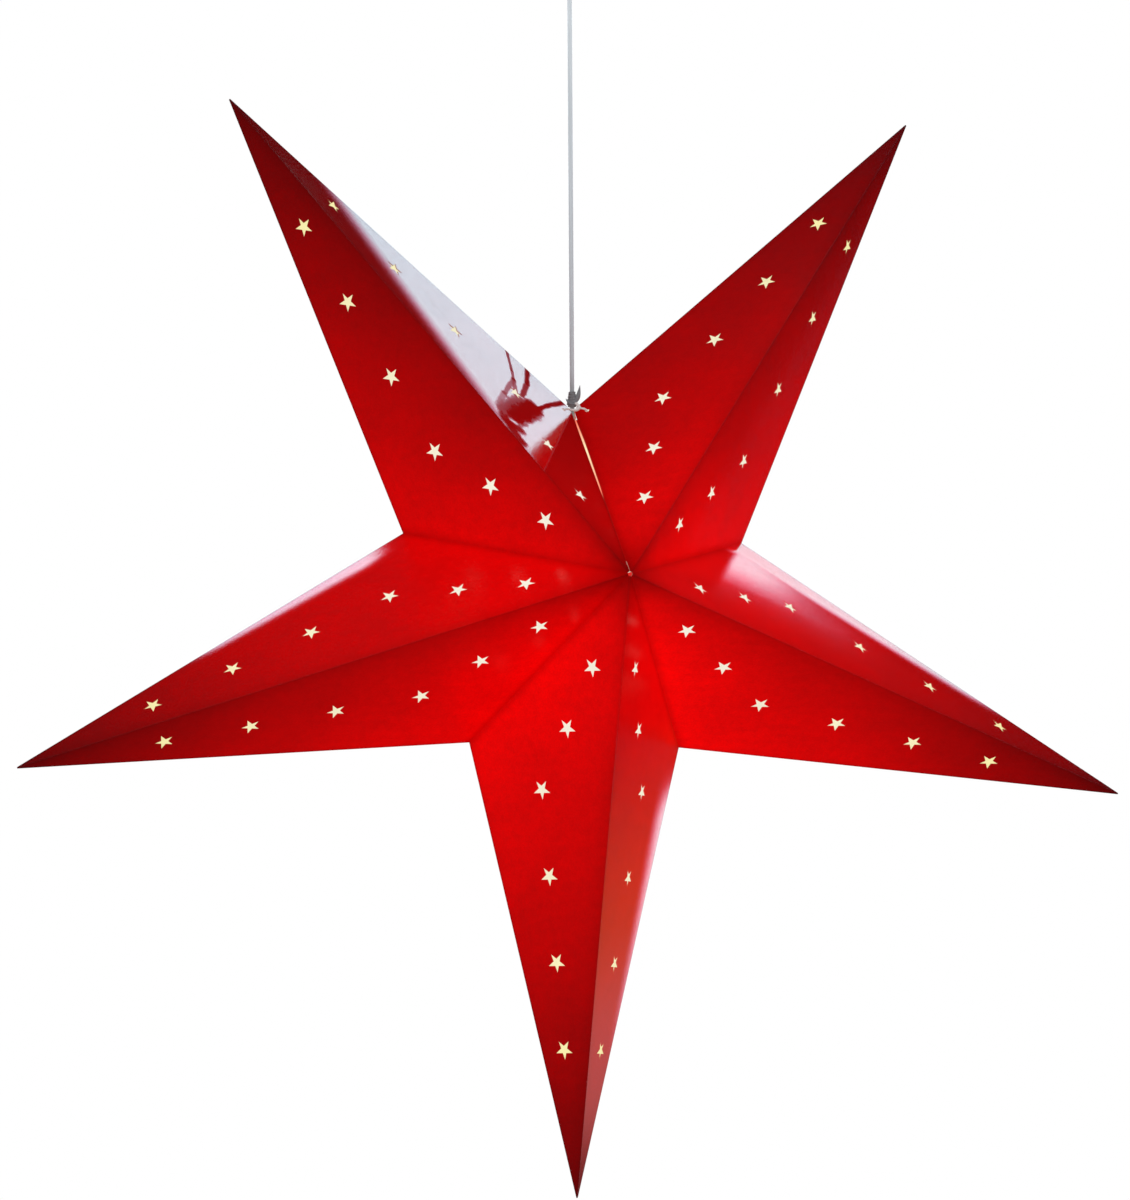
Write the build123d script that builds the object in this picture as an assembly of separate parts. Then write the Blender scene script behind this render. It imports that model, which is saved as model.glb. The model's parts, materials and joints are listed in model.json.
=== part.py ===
from build123d import *

import os
from math import cos, radians, sin, tan

# A hanging five-point paper star with a lamp inside, on a straight cord under a ceiling rose.
# Lengths are in millimetres. The origin is on the ceiling, on the cord's line.
# +Z is up, and the star's pierced front faces -Y.

# Folded star
point_names = ("bottom", "right", "upper_right", "upper_left", "left")
left_hand_names = ("right", "upper", "left", "left", "lower")
right_hand_names = ("left", "lower", "right", "right", "upper")
first_point_angle = -90.0
star_drop = 372.0
tip_radius = 300.0
valley_radius = 92.0
half_depth = 97.0
paper = 0.4
tip_blunting = 1.5
front_apex_hole = 1.2
back_apex_hole = 2.0
back_crease_gap = 0.15
seam_half_gap_at_apex = 0.1
seam_half_gap_at_valley = 0.8

# Star-shaped cut-outs, in one bent row on each panel
cutout_radius = 5.3
cutout_arms = 5
cutout_waist_share = 0.38
row_heading_share = 0.31
inner_row_shares = (0.30, 0.495, 0.693)
outer_row_shares = (0.21, 0.42, 0.632)

# Translucent liner glued behind each row
liner = 0.15
liner_margin = 4.0

# Cord and the strings that tie the open seam round it
cord_radius = 1.15
cord_notch_clearance = 1.2
cord_socket_clearance = 0.15
string_radius = 0.5
string_bend_radius = 1.5
string_reach = 2.5
string_hole_clearance = 0.5
string_hole_inset = 8.0
knot_fit = 0.08
knot_seat_gap = 0.3
knot_bottom_radius = 3.2
knot_top_radius = 2.2
knot_height = 6.0
knot_tail_length = 6.0
knot_tail_lean = 25.0
string_seat_gap = 0.3
string_tie_height = 1.0

# Ceiling rose
rose_height = 36.0
rose_wall = 2.0
rose_rounding = 22.0
ceiling_gap = 0.4
base_plate_thickness = 3.0
base_rim_wall = 2.0
base_rim_height = 10.0
supply_hole_radius = 5.0
screw_spacing = 50.0
screw_hole_radius = 2.25
screw_edge_margin = 7.0
lug_count = 3
lug_angle = 24.0
lug_reach = 3.0
lug_wall_gap = 3.0
lug_thickness = 2.2
ledge_thickness = 3.0
lug_side_gap = 0.5
lug_seat_gap = 0.3

# Terminal block on the base plate
terminal_width = 22.0
terminal_depth = 12.0
terminal_height = 10.0
terminal_offset = 15.0
terminal_hole_radius = 1.5
terminal_hole_depth = 8.0
terminal_pitch = 10.0
terminal_screw_radius = 1.4
terminal_screw_head_radius = 2.2
terminal_screw_head_height = 1.2
terminal_screw_fit = 0.1
core_radius = 0.6
core_start_spread = 1.4
core_bend_radius = 5.0
core_press_gap = 0.1
core_insertion = 5.0

# Cord grip, screwed through the middle of the rose
grip_thread_radius = 5.0
grip_thread_fit = 0.1
grip_collar_radius = 7.5
grip_collar_height = 12.0
grip_collar_chamfer = 1.0
grip_bore_clearance = 0.3
grip_thread_stand = 2.0
grip_nut_width = 15.0
grip_nut_height = 4.0
pivot_depth = 7.0
mouth_flare_angle = 26.0
tail_stand = 1.5
tail_gap = 0.15

# Lampholder, with its heights counted from the star's centre
holder_radius = 13.5
holder_mouth_gap = 1.0
holder_roof = 4.0
holder_mouth_chamfer = 1.2
holder_rib_count = 16
holder_rib_radius = 0.7
holder_rib_margin = 4.0
cap_height = 12.0
cap_rounding = 6.0
cap_cord_depth = 8.0
sleeve_wall = 0.4
sleeve_fit = 0.05
sleeve_mouth_inset = 2.0
contact_radius = 3.0
contact_height = 3.4

# Lamp
lamp_cap_radius = 6.9
lamp_cap_fit = 0.1
lamp_cap_length = 19.0
lamp_tip_radius = 2.5
lamp_tip_height = 1.5
lamp_contact_gap = 0.1
collar_top_height = 24.0
collar_top_radius = 9.0
globe_radius = 17.5
globe_wall = 1.2
globe_cut_height = 12.0
board_thickness = 1.6
board_edge_gap = 0.3
led_count = 6
led_size = 3.0
led_height = 0.8
led_ring_share = 0.62

overrun = 5.0

half_step = 180.0 / len(point_names)


def on_circle(radius, angle):
    return Vector(radius * cos(radians(angle)), 0, radius * sin(radians(angle)))


def revolved(outline):
    return revolve(Plane.XZ * make_face(outline), Axis.Z)


def standing(radius, bottom, top):
    """A cylinder on the cord's line between two heights."""
    return Pos(0, 0, bottom) * Cylinder(radius, top - bottom, align=(Align.CENTER, Align.CENTER, Align.MIN))


def ring(outer_radius, inner_radius, bottom, top):
    return standing(outer_radius, bottom, top) - standing(inner_radius, bottom - overrun, top + overrun)


# One panel: the front one on the left-hand side of a point that aims along +X
front_apex = Vector(0, -half_depth, 0)
point_tip = on_circle(tip_radius, 0)
point_valley = on_circle(valley_radius, half_step)
panel_normal = (point_tip - front_apex).cross(point_valley - front_apex).normalized()
panel_normal *= 1 if panel_normal.dot(front_apex) > 0 else -1
panel_distance = panel_normal.dot(front_apex)
panel_plane = Plane(origin=front_apex, x_dir=point_tip - front_apex, z_dir=panel_normal)


def mitred_plate(corners, thickness):
    """A triangular plate whose edges are cut towards the star's centre, so neighbours meet face to face."""
    inner_corners = [corner * (1 - thickness / panel_distance) for corner in corners]
    faces = [Face(Wire.make_polygon(corners)), Face(Wire.make_polygon(inner_corners))]
    for index, corner in enumerate(corners):
        following = (index + 1) % len(corners)
        side = [corner, corners[following], inner_corners[following], inner_corners[index]]
        faces.append(Face(Wire.make_polygon(side)))
    return Solid(Shell(faces))


def cutout_places():
    """Centres of a panel's cut-outs: out from the apex, then bent towards the tip."""
    edge_place = point_valley + (point_tip - point_valley) * row_heading_share
    heading = edge_place - front_apex
    inner_row = [front_apex + heading * share for share in inner_row_shares]
    bend = inner_row[-1]
    outer_row = [bend + (point_tip - bend) * share for share in outer_row_shares]
    return inner_row + outer_row, point_tip - bend


def five_arm_outline(radius, waist_share):
    corners = []
    for index in range(2 * cutout_arms):
        reach = radius if index % 2 == 0 else radius * waist_share
        angle = radians(index * 180 / cutout_arms)
        corners.append((reach * cos(angle), reach * sin(angle)))
    return make_face(Polyline(*corners, close=True))


def cutout_tools():
    places, aim = cutout_places()
    tools = []
    for place in places:
        plane = Plane(origin=place, x_dir=aim, z_dir=panel_normal)
        tools.append(extrude(plane * five_arm_outline(cutout_radius, cutout_waist_share), overrun, both=True))
    return tools


def crease_slot(angle, half_gap):
    """A thin slab on the plane of a crease, which opens a gap there."""
    slab = Pos(tip_radius / 2, 0, 0) * Box(tip_radius + overrun, 2 * half_depth, 2 * half_gap)
    return Rot(0, -angle, 0) * slab


def liner_sheet():
    """The liner lies on the inner face of its panel, inside a glued margin."""
    corners = [panel_plane.to_local_coords(corner) for corner in (front_apex, point_tip, point_valley)]
    outline = make_face(Polyline(*[(corner.X, corner.Y) for corner in corners], close=True))
    outline = offset(outline, -liner_margin, kind=Kind.INTERSECTION)
    return extrude(panel_plane.offset(-paper) * outline, -liner)


def blank_panel():
    plate = mitred_plate([front_apex, point_tip, point_valley], paper)
    trim = Pos(tip_radius + overrun - tip_blunting, 0, 0) * Box(2 * overrun, overrun, overrun)
    return plate - trim - cutout_tools()


def placed(shape, angle):
    return Pos(0, 0, -star_drop) * Rot(0, -angle, 0) * shape


def apex_drill(radius):
    return Rot(90, 0, 0) * Cylinder(radius, 4 * half_depth)


def seam_opening():
    """The slit of the tied seam, wider at the valley, with a notch there for the cord."""
    spread = seam_half_gap_at_valley - seam_half_gap_at_apex
    far = valley_radius + overrun
    far_half_gap = seam_half_gap_at_apex + spread * far / valley_radius
    outline = Polyline((-seam_half_gap_at_apex, 0), (seam_half_gap_at_apex, 0), (far_half_gap, far),
                       (-far_half_gap, far), close=True)
    slit = extrude(Plane.XZ * make_face(outline), 2 * half_depth, both=True)
    return slit + standing(cord_radius + cord_notch_clearance, 0, far)


def string_hole_place():
    """Where the tie string passes through the right-hand panel of the upper-left point."""
    valley = on_circle(valley_radius, 90)
    tip = on_circle(tip_radius, 90 + half_step)
    step = (front_apex - valley).normalized() + (tip - valley).normalized()
    normal = (tip - front_apex).cross(valley - front_apex).normalized()
    normal *= 1 if normal.dot(front_apex) > 0 else -1
    return valley + step * string_hole_inset, normal


def string_hole_tool():
    place, normal = string_hole_place()
    return Plane(origin=place, z_dir=normal) * Cylinder(string_radius + string_hole_clearance, 2 * overrun)


def write_star():
    front_blank = blank_panel()
    back_blank = mirror(front_blank, Plane.XZ)
    back_blank -= [crease_slot(0, back_crease_gap), crease_slot(half_step, back_crease_gap)]
    faces = {"front": (front_blank - apex_drill(front_apex_hole), liner_sheet()),
             "back": (back_blank - apex_drill(back_apex_hole), mirror(liner_sheet(), Plane.XZ))}
    hole = string_hole_tool()
    seam_tool = Pos(0, 0, -star_drop) * seam_opening()
    hole_tools = Pos(0, 0, -star_drop) * (hole + mirror(hole, Plane.YZ))
    for index, point in enumerate(point_names):
        angle = first_point_angle + 2 * half_step * index
        for face, (panel, sheet) in faces.items():
            for side, hand in ((left_hand_names[index], 1), (right_hand_names[index], -1)):
                turned_panel = panel if hand > 0 else mirror(panel, Plane.XY)
                turned_sheet = sheet if hand > 0 else mirror(sheet, Plane.XY)
                plate = placed(turned_panel, angle)
                backing = placed(turned_sheet, angle)
                beside_seam = abs(angle + hand * half_step - 90) < half_step
                if beside_seam:
                    plate -= seam_tool
                if beside_seam and face == "front":
                    plate -= hole_tools
                    backing -= hole_tools
                name = f"{point}_point_{side}_{face}"
                export_step(plate, f"parts/{name}_panel.step")
                export_step(backing, f"parts/{name}_liner.step")


# Heights of the lamp and its holder, counted from the star's centre
lamp_cap_bottom = collar_top_height
lamp_cap_top = lamp_cap_bottom + lamp_cap_length
contact_bottom = lamp_cap_top + lamp_tip_height + lamp_contact_gap
holder_mouth_height = collar_top_height + holder_mouth_gap
holder_top_height = contact_bottom + contact_height + holder_roof


# The cord's line, from the rose down to the lampholder
grip_bottom = -rose_height - grip_collar_height
pivot_height = grip_bottom + pivot_depth
grip_thread_top = -rose_height + rose_wall + grip_nut_height + grip_thread_stand
cap_top = holder_top_height + cap_height - star_drop
cord_bottom = cap_top - cap_cord_depth
valley_height = valley_radius - star_drop
seam_tip = on_circle(tip_radius, 90 - half_step)
seam_slope = (seam_tip.Z - valley_radius) / seam_tip.X
knot_bottom = valley_height + knot_bottom_radius * seam_slope + knot_seat_gap


def hanging_cord():
    """The straight run, with a rounded top end that turns in the grip's mouth."""
    return standing(cord_radius, cord_bottom, pivot_height) + Pos(0, 0, pivot_height) * Sphere(cord_radius)


def cord_tail():
    tail_bottom = pivot_height + cord_radius + tail_gap
    return standing(cord_radius, tail_bottom, grip_thread_top + tail_stand)


def tie_knot():
    outline = Polyline((0, knot_bottom), (knot_bottom_radius, knot_bottom),
                       (knot_top_radius, knot_bottom + knot_height), (0, knot_bottom + knot_height), close=True)
    tail_root = (knot_top_radius - string_radius, 0, knot_bottom + knot_height - string_radius)
    tail = Cylinder(string_radius, knot_tail_length, align=(Align.CENTER, Align.CENTER, Align.MIN))
    knot = revolved(outline) + Pos(*tail_root) * Rot(0, knot_tail_lean, 0) * tail
    return knot - standing(cord_radius + knot_fit, knot_bottom - overrun, knot_bottom + knot_height + overrun)


def tie_string():
    """The left-hand string: out through its hole, then across to the knot."""
    place, normal = string_hole_place()
    place += Vector(0, 0, -star_drop)
    inside = place - normal * string_reach
    outside = place + normal * string_reach
    towards_hole = Vector(outside.X, outside.Y, 0).normalized()
    target = Vector(0, 0, knot_bottom + string_tie_height)
    target += towards_hole * (knot_bottom_radius + string_radius + string_seat_gap)
    path = FilletPolyline(inside, outside, target, radius=string_bend_radius)
    return sweep(Plane(origin=inside, z_dir=normal) * Circle(string_radius), path=path)


def ring_sector(inner_radius, outer_radius, angle, bottom, top):
    half = radians(angle / 2)
    reach = 2 * outer_radius
    wedge = make_face(Polyline((0, 0), (reach, -reach * tan(half)), (reach, reach * tan(half)), close=True))
    sector = (Circle(outer_radius) - Circle(inner_radius)) & wedge
    return Pos(0, 0, bottom) * extrude(sector, top - bottom)


def round_the_axis(shape, count, start=0.0):
    return [Rot(0, 0, start + index * 360 / count) * shape for index in range(count)]


# Ceiling rose: base plate with a rim and lugs, and a cover whose ledges hang on the lugs
base_plate_radius = screw_spacing / 2 + screw_edge_margin
rose_radius = base_plate_radius + lug_reach + lug_wall_gap + rose_wall
lug_top = -base_rim_height + lug_thickness
ledge_bottom = lug_top + lug_seat_gap


def rose_base_plate():
    plate = standing(base_plate_radius, -base_plate_thickness, 0)
    plate += ring(base_plate_radius, base_plate_radius - base_rim_wall, -base_rim_height, 0)
    lug = ring_sector(base_plate_radius - base_rim_wall / 2, base_plate_radius + lug_reach, lug_angle,
                      -base_rim_height, lug_top)
    plate += round_the_axis(lug, lug_count, start=90)
    plate -= standing(supply_hole_radius, -base_rim_height, overrun)
    for side in (-1, 1):
        plate -= Pos(side * screw_spacing / 2, 0, 0) * Cylinder(screw_hole_radius, 2 * overrun)
    return plate


def rose_cover():
    outer = standing(rose_radius, -rose_height, -ceiling_gap)
    outer = fillet(outer.edges().sort_by(Axis.Z)[0], rose_rounding)
    hollow = standing(rose_radius - rose_wall, rose_wall - rose_height, overrun)
    hollow = fillet(hollow.edges().sort_by(Axis.Z)[0], rose_rounding - rose_wall)
    inner_radius = base_plate_radius + lug_side_gap
    ledge = ring_sector(inner_radius, rose_radius - rose_wall / 2, lug_angle, ledge_bottom,
                        ledge_bottom + ledge_thickness)
    cover = outer - hollow + round_the_axis(ledge, lug_count, start=90)
    return cover - standing(grip_thread_radius + grip_thread_fit, -rose_height - overrun, -rose_height + overrun)


def cord_grip():
    """A threaded neck and a collar, bored for the cord, with a flared mouth that lets it swing."""
    collar = standing(grip_collar_radius, grip_bottom, -rose_height)
    collar = chamfer(collar.edges().sort_by(Axis.Z)[0], grip_collar_chamfer)
    grip = collar + standing(grip_thread_radius, -rose_height, grip_thread_top)
    bore = cord_radius + grip_bore_clearance
    mouth = bore + pivot_depth * tan(radians(mouth_flare_angle))
    flare = Polyline((0, pivot_height), (bore, pivot_height), (mouth, grip_bottom), (0, grip_bottom), close=True)
    return grip - standing(bore, grip_bottom, grip_thread_top + overrun) - revolved(flare)


def grip_nut():
    bottom = rose_wall - rose_height
    nut = Pos(0, 0, bottom) * extrude(RegularPolygon(grip_nut_width / 2, 6, major_radius=False), grip_nut_height)
    return nut - standing(grip_thread_radius + grip_thread_fit, bottom - overrun, bottom + grip_nut_height + overrun)


# Terminal block: its holes face the cord's line, and its screws are reached from below
terminal_top = -base_plate_thickness
core_height = terminal_top - terminal_height / 2
terminal_face = terminal_offset - terminal_depth / 2


def terminal_block():
    block = Pos(0, terminal_offset, core_height) * Box(terminal_width, terminal_depth, terminal_height)
    for side in (-1, 1):
        hole = Rot(90, 0, 0) * Cylinder(terminal_hole_radius, 2 * terminal_hole_depth)
        block -= Pos(side * terminal_pitch / 2, terminal_face, core_height) * hole
        block -= Pos(*terminal_screw_place(side)) * standing(terminal_screw_radius + terminal_screw_fit,
                                                             core_height - terminal_height, core_height)
    return block


def terminal_screw_place(side):
    return side * terminal_pitch / 2, terminal_face + core_insertion - core_radius, 0


def terminal_screws():
    head_top = terminal_top - terminal_height
    screw = standing(terminal_screw_radius, head_top, core_height - core_radius - core_press_gap)
    screw += standing(terminal_screw_head_radius, head_top - terminal_screw_head_height, head_top)
    return Compound([Pos(*terminal_screw_place(side)) * screw for side in (-1, 1)])


def cord_cores():
    """Two insulated cores, from the cord's end up into the terminal block."""
    start = grip_thread_top + tail_stand + tail_gap
    cores = []
    for side in (-1, 1):
        bottom = Vector(side * core_start_spread / 2, 0, start)
        corner = Vector(side * terminal_pitch / 2, 0, core_height)
        end = Vector(side * terminal_pitch / 2, terminal_face + core_insertion, core_height)
        path = FilletPolyline(bottom, corner, end, radius=core_bend_radius)
        section = Plane(origin=bottom, z_dir=corner - bottom) * Circle(core_radius)
        cores.append(sweep(section, path=path))
    return Compound(cores)


# Lampholder and lamp, modelled about the star's centre
sleeve_radius = lamp_cap_radius + lamp_cap_fit + sleeve_wall


def lampholder_shell():
    shell = standing(holder_radius, holder_mouth_height, holder_top_height)
    shell = chamfer(shell.edges().sort_by(Axis.Z)[0], holder_mouth_chamfer)
    shell -= standing(sleeve_radius + sleeve_fit, holder_mouth_height, holder_top_height - holder_roof)
    rib_bottom = holder_mouth_height + holder_rib_margin
    groove = Pos(holder_radius, 0, 0) * standing(holder_rib_radius, rib_bottom, holder_top_height - holder_rib_margin)
    return shell - round_the_axis(groove, holder_rib_count)


def lampholder_cap():
    cap = standing(holder_radius, holder_top_height, holder_top_height + cap_height)
    cap = fillet(cap.edges().sort_by(Axis.Z)[-1], cap_rounding)
    bore_bottom = holder_top_height + cap_height - cap_cord_depth
    return cap - standing(cord_radius + cord_socket_clearance, bore_bottom, holder_top_height + cap_height)


def socket_sleeve():
    bottom = holder_mouth_height + sleeve_mouth_inset
    return ring(sleeve_radius, sleeve_radius - sleeve_wall, bottom, contact_bottom)


def socket_contact():
    return standing(contact_radius, contact_bottom, holder_top_height - holder_roof)


def lamp_base():
    cap = standing(lamp_cap_radius, lamp_cap_bottom, lamp_cap_top)
    return cap + standing(lamp_tip_radius, lamp_cap_top, lamp_cap_top + lamp_tip_height)


def globe_radius_at(height, radius):
    return (radius ** 2 - height ** 2) ** 0.5


def lamp_collar():
    rim = globe_radius_at(globe_cut_height, globe_radius)
    outline = Polyline((0, globe_cut_height), (rim, globe_cut_height), (collar_top_radius, collar_top_height),
                       (0, collar_top_height), close=True)
    return revolved(outline)


def lamp_globe():
    globe = Sphere(globe_radius) - Sphere(globe_radius - globe_wall)
    return globe - standing(globe_radius, globe_cut_height, globe_radius + overrun)


def led_board():
    """A round board under the collar with a ring of diodes that face down into the globe."""
    bottom = globe_cut_height - board_thickness
    radius = globe_radius_at(globe_cut_height, globe_radius - globe_wall) - board_edge_gap
    diode = Pos(radius * led_ring_share, 0, bottom - led_height / 2) * Box(led_size, led_size, led_height)
    return standing(radius, bottom, globe_cut_height) + round_the_axis(diode, led_count)


def write_lamp():
    pieces = {"lampholder_shell": lampholder_shell(), "lampholder_cap": lampholder_cap(),
              "socket_sleeve": socket_sleeve(), "socket_contact": socket_contact(), "lamp_base": lamp_base(),
              "lamp_collar": lamp_collar(), "lamp_globe": lamp_globe(), "led_board": led_board()}
    for name, piece in pieces.items():
        export_step(Pos(0, 0, -star_drop) * piece, f"parts/{name}.step")


def write_hanging_parts():
    left_string = tie_string()
    pieces = {"rose_base_plate": rose_base_plate(), "rose_cover": rose_cover(), "cord_grip": cord_grip(),
              "grip_nut": grip_nut(), "terminal_block": terminal_block(), "terminal_screws": terminal_screws(),
              "cord_cores": cord_cores(), "cord_tail": cord_tail(), "hanging_cord": hanging_cord(),
              "tie_knot": tie_knot(), "left_tie_string": left_string,
              "right_tie_string": mirror(left_string, Plane.YZ)}
    for name, piece in pieces.items():
        export_step(piece, f"parts/{name}.step")


os.makedirs("parts", exist_ok=True)
write_star()
write_lamp()
write_hanging_parts()
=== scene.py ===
"""A lit, folded paper star on a straight cord: looks, light and camera round the fixed model."""

import json
import math

import bmesh
import bpy
from bpy.props import FloatProperty, FloatVectorProperty, IntProperty, PointerProperty
from mathutils import Matrix, Vector

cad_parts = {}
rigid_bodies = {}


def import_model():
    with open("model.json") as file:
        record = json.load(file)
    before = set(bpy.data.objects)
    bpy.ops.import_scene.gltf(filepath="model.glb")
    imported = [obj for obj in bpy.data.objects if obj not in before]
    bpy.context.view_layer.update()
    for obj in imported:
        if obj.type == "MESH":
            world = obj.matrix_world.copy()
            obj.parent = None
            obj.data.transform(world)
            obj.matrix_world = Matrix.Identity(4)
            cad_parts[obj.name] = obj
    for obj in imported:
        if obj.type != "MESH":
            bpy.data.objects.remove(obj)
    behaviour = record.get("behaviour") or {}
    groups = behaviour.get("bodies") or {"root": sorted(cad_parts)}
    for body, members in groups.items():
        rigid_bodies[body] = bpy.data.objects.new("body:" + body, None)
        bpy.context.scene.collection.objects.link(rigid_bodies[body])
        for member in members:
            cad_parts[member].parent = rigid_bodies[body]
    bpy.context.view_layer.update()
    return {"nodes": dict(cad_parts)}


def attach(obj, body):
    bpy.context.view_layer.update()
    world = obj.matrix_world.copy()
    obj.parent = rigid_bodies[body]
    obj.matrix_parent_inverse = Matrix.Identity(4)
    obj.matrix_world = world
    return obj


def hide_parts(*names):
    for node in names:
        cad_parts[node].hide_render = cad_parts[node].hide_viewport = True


bl_info = {
    "name": "Lit paper star",
    "version": (1, 0, 0),
    "blender": (4, 5, 0),
    "location": "View3D > Sidebar > Paper star",
    "description": "Builds the paper, lamp, cord and light of a hanging folded paper star",
    "category": "Object",
}

for leftover in list(bpy.data.objects):
    bpy.data.objects.remove(leftover)
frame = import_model()

MM = 0.001
PHOTO_HEIGHT = 1200
SENSOR = 36.0

# Each point: its name, the way it aims in degrees, and its anticlockwise and clockwise sides
POINTS = (
    ("bottom", -90.0, "right", "left"),
    ("right", -18.0, "upper", "lower"),
    ("upper_right", 54.0, "left", "right"),
    ("upper_left", 126.0, "left", "right"),
    ("left", 198.0, "lower", "upper"),
)
HALF_STEP = 36.0


def length(name, description, default):
    return FloatProperty(name=name, description=description, default=default, unit="LENGTH")


def number(name, description, default):
    return FloatProperty(name=name, description=description, default=default)


def tint(name, description, default):
    return FloatVectorProperty(name=name, description=description, default=default, size=3,
                               subtype="COLOR", min=0, max=1)


class StarSizes(bpy.types.PropertyGroup):
    """Sizes that place the new pieces and the patterns on the star."""

    star_drop: length("Star drop", "From the ceiling to the star's centre", 0.372)
    tip_radius: length("Tip radius", "From the star's centre to a tip", 0.300)
    valley_radius: length("Valley radius", "From the star's centre to an inner corner", 0.092)
    half_depth: length("Half depth", "From the star's middle plane to its front apex", 0.097)
    # The crease width sets the fine dark line of painted shade along each fold
    crease_width: length("Crease width", "Width of the worn line along a fold", 0.0016)


class StarColours(bpy.types.PropertyGroup):
    """Colours of the paper, the light that comes through it and the fittings."""

    # Darker than the red paper is in plain light: painted shade of the star's shaded front
    paper: tint("Paper", "Coated red paper, unlit", (0.135, 0.0006, 0.0012))
    glow: tint("Glow", "Lamp light that has passed through the red paper", (1.0, 0.0, 0.0))
    liner_near: tint("Near liner", "Translucent liner close to the lamp", (0.80, 0.77, 0.66))
    liner_far: tint("Far liner", "Translucent liner near the tips", (0.82, 0.74, 0.27))
    plastic: tint("White plastic", "Ceiling rose and lampholder", (0.80, 0.79, 0.76))
    sheath: tint("Cord sheath", "Sheath of the hanging cord", (0.80, 0.87, 0.92))
    cotton: tint("Cotton", "String that ties the seam", (0.80, 0.77, 0.77))
    # The knot's string is the tie cotton drawn darker: painted shade
    knotted: tint("Knotted cotton", "Waxed string of the knot", (0.30, 0.31, 0.33))


class CordSizes(bpy.types.PropertyGroup):
    """The hanging cord and the string round it."""

    cord_top: length("Cord top", "Height of the cord's upper end", -0.0400)
    cord_bottom: length("Cord bottom", "Height of the cord's end in the lampholder", -0.3160)
    cord_diameter: length("Cord diameter", "Thickness of the hanging cord", 0.0023)
    string_diameter: length("String diameter", "Thickness of the tie string", 0.0010)
    knot_bottom: length("Knot bottom", "Height of the knot's lowest turn", -0.2776)
    knot_top: length("Knot top", "Height of the knot's highest turn", -0.2709)
    knot_turns: IntProperty(
        name="Knot turns", description="Turns of string round the cord",
        default=9, min=1)


class StudioSettings(bpy.types.PropertyGroup):
    """The camera, the light and the floor."""

    azimuth: number("Azimuth", "Where the camera stands round the star, in degrees", -16.77)
    elevation: number("Elevation", "Height of the camera over the star, in degrees", -6.43)
    roll: number("Roll", "Turn of the camera about its own axis, in degrees", -0.354)
    distance: length("Distance", "From the camera to the star", 6.386)
    focal_pixels: number("Focal length", "In pixels of the photograph", 12907.0)
    aim_right: length("Aim right", "Where the camera looks, right of the star's centre", -0.0041)
    aim_up: length("Aim up", "Where the camera looks, above the star's centre", -0.0023)
    level: number("Light level", "Soft light from all round", 0.78)
    softbox_distance: length("Softbox distance", "From the star to each softbox", 3.0)
    softbox_tint: tint("Softbox tint", "Cool daylight of the softboxes", (0.53, 0.87, 1.0))
    rim_tint: tint("Softbox rim tint", "Rosy light at a softbox's rim", (1.0, 0.30, 0.74))
    back_radius: length("Back softbox radius", "Radius of the softbox behind the star", 3.0)
    back_level: number("Back softbox level", "Brightness of the softbox behind the star", 2.05)
    top_radius: length(
        "Top softbox radius", "Radius of the softbox above and behind the star", 0.54)
    top_level: number(
        "Top softbox level", "Brightness of the softbox above and behind the star", 3.9)
    floor_height: length("Floor", "Height of the floor", -1.75)


# Shader building


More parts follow.
